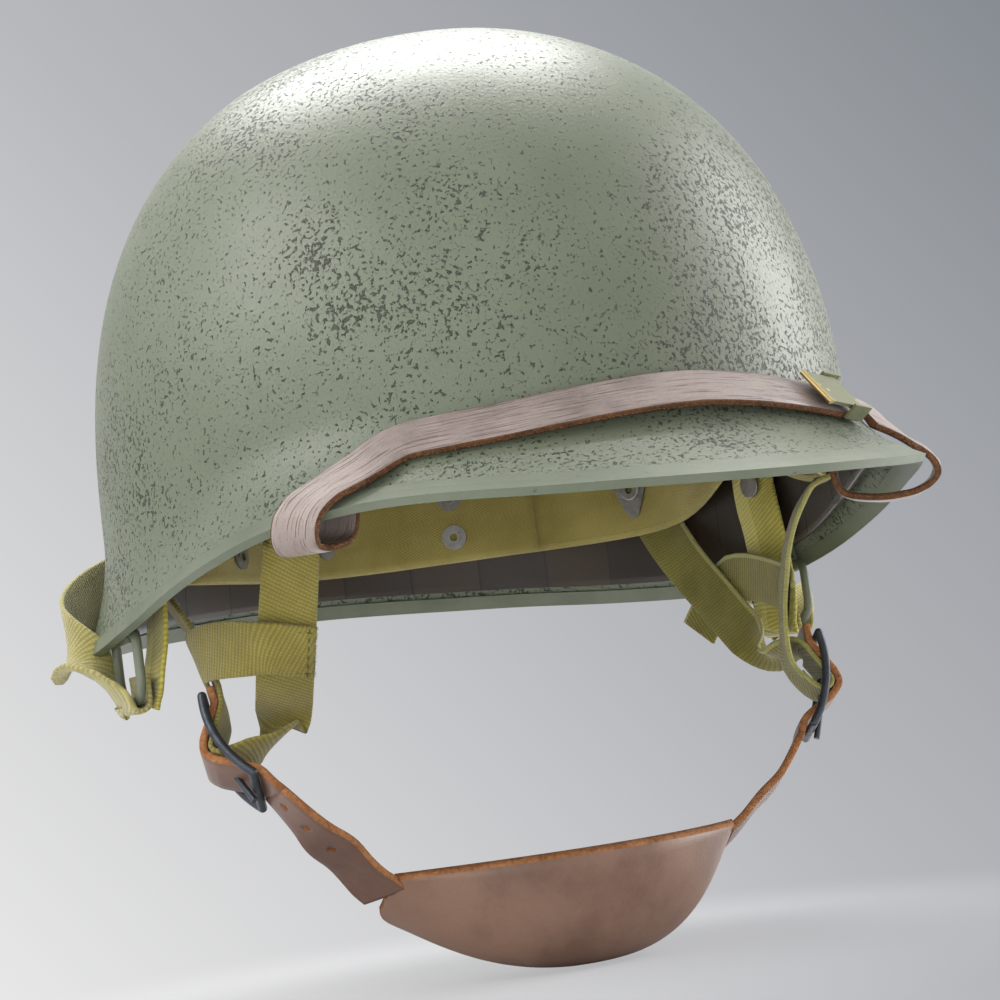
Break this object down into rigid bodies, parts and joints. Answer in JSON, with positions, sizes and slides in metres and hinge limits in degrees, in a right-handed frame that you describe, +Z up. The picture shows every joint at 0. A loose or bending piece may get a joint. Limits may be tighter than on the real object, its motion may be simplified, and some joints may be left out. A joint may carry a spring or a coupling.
{
  "type": "steel pot helmet",
  "caption": "Steel pot helmet with a cork-textured green shell, fibre liner, web suspension, leather brim strap and moulded leather chin cup.",
  "frame": {"origin": "centre of the head opening, 8 mm above the head band's lower edge at the back", "axes": "+Z up, -Y the way the wearer looks, +X to the wearer's left"},
  "size_m": [0.2616, 0.2828, 0.2797],
  "materials": {
    "shell_paint": "rough cork-textured matt",
    "edging_paint": "satin",
    "liner_fibre": "satin",
    "suspension_web": "matt",
    "yoke_web": "matt",
    "shell_web": "matt",
    "lace_cord": "matt",
    "chin_leather": "matt",
    "brim_leather": "worn matt",
    "plate_steel": "dull zinc plated",
    "buckle_steel": "blackened",
    "bale_wire": "satin",
    "cam_paint": "satin, worn to brass at the edge"
  },
  "bodies": {
    "liner": {"liner": "liner_fibre", "head_band": "suspension_web", "nape_band": "suspension_web", "crown_lace": "lace_cord", "anchor_1": "plate_steel", "anchor_2": "plate_steel", "anchor_3": "plate_steel", "anchor_4": "plate_steel", "anchor_5": "plate_steel", "anchor_6": "plate_steel", "crown_leg_1": "suspension_web", "crown_leg_2": "suspension_web", "crown_leg_3": "suspension_web", "crown_leg_4": "suspension_web", "crown_leg_5": "suspension_web", "crown_leg_6": "suspension_web", "nape_snap_1": "plate_steel", "nape_snap_2": "plate_steel", "nape_snap_3": "plate_steel", "nape_snap_4": "plate_steel", "yoke_web_right": "yoke_web", "yoke_crossbar_right": "yoke_web", "brim_stud_right": "plate_steel", "tab_snap_right": "plate_steel", "yoke_web_left": "yoke_web", "yoke_crossbar_left": "yoke_web", "brim_stud_left": "plate_steel", "tab_snap_left": "plate_steel"},
    "shell": {"shell": "shell_paint", "rim_edging": "edging_paint", "rear_buckle": "buckle_steel", "bale_barrel_right": "bale_wire", "shell_strap_right": "shell_web", "snap_tab_right": "shell_web", "bale_barrel_left": "bale_wire", "shell_strap_left": "shell_web", "snap_tab_left": "shell_web", "brim_strap_long": "brim_leather", "brim_strap_short": "brim_leather", "brim_buckle": "cam_paint"},
    "chin": {"chin_cup": "chin_leather", "chin_strap_right": "chin_leather", "chin_buckle_right": "buckle_steel", "chin_strap_left": "chin_leather", "chin_buckle_left": "buckle_steel"},
    "bale_right": {"bale_right": "bale_wire"},
    "bale_left": {"bale_left": "bale_wire"},
    "prong_right": {"prong_right": "buckle_steel"},
    "prong_left": {"prong_left": "buckle_steel"},
    "brim_lever": {"brim_buckle_lever": "cam_paint"}
  },
  "joints": [
    {"name": "shell_lift", "type": "slide", "parent": "liner", "child": "shell", "axis": [0, 0, 1], "range_m": [0, 0.2], "deforming": ["brim_strap_long", "brim_strap_short", "snap_tab_right", "snap_tab_left"]},
    {"name": "bale_right_swing", "type": "hinge", "parent": "shell", "child": "bale_right", "pos_m": [-0.11426, 0.01452, -0.026], "axis": [0.1132, 0.9936, 0], "range_deg": [-6, 27], "deforming": ["shell_strap_right"]},
    {"name": "bale_left_swing", "type": "hinge", "parent": "shell", "child": "bale_left", "pos_m": [0.11426, 0.01452, -0.026], "axis": [0.1132, -0.9936, 0], "range_deg": [-6, 27], "deforming": ["shell_strap_left"]},
    {"name": "chin_swing", "type": "hinge", "parent": "liner", "child": "chin", "pos_m": [0, -0.0209, -0.064], "axis": [1, 0, 0], "range_deg": [-75, 55], "deforming": ["yoke_web_right", "yoke_web_left", "yoke_crossbar_right", "yoke_crossbar_left"]},
    {"name": "prong_right_turn", "type": "hinge", "parent": "chin", "child": "prong_right", "pos_m": [-0.1012, -0.01379, -0.0636], "axis": [0.4103, 0.7477, -0.5221], "range_deg": [0, 100], "deforming": ["chin_strap_right"]},
    {"name": "prong_left_turn", "type": "hinge", "parent": "chin", "child": "prong_left", "pos_m": [0.10106, -0.01742, -0.06629], "axis": [-0.421, -0.8719, 0.2501], "range_deg": [0, 100], "deforming": ["chin_strap_left"]},
    {"name": "brim_lever_turn", "type": "hinge", "parent": "shell", "child": "brim_lever", "pos_m": [0.06022, -0.10272, 0.0138], "axis": [-0.2469, 0.5721, 0.7822], "range_deg": [0, 80]}
  ]
}
